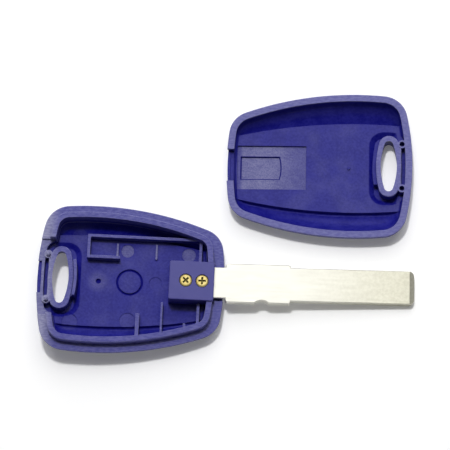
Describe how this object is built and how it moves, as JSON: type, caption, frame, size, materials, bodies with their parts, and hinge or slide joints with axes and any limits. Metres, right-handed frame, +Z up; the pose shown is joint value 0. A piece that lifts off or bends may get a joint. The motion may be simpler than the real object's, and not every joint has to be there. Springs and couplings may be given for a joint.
{
  "type": "key fob shell",
  "caption": "Open plastic key shell: a base that holds an uncut steel blade under a screwed clamp block, with its loose cover beside it.",
  "frame": {"origin": "on the table under the middle of the whole object's box", "axes": "+X from the base's ring end towards the blade's tip, +Y from the base towards the cover, +Z up"},
  "size_m": [0.088, 0.0648, 0.0086],
  "materials": {
    "shell_plastic": "satin moulded plastic, dark blue",
    "blade_steel": "bright nickel-plated, smooth",
    "clamp_plastic": "smooth moulded plastic, dark blue",
    "screw_brass": "bright, turned"
  },
  "bodies": {
    "root": {"base_shell": "shell_plastic", "cover_shell": "shell_plastic", "key_blade": "blade_steel", "blade_clamp": "clamp_plastic", "clamp_screws": "screw_brass"}
  },
  "joints": []
}
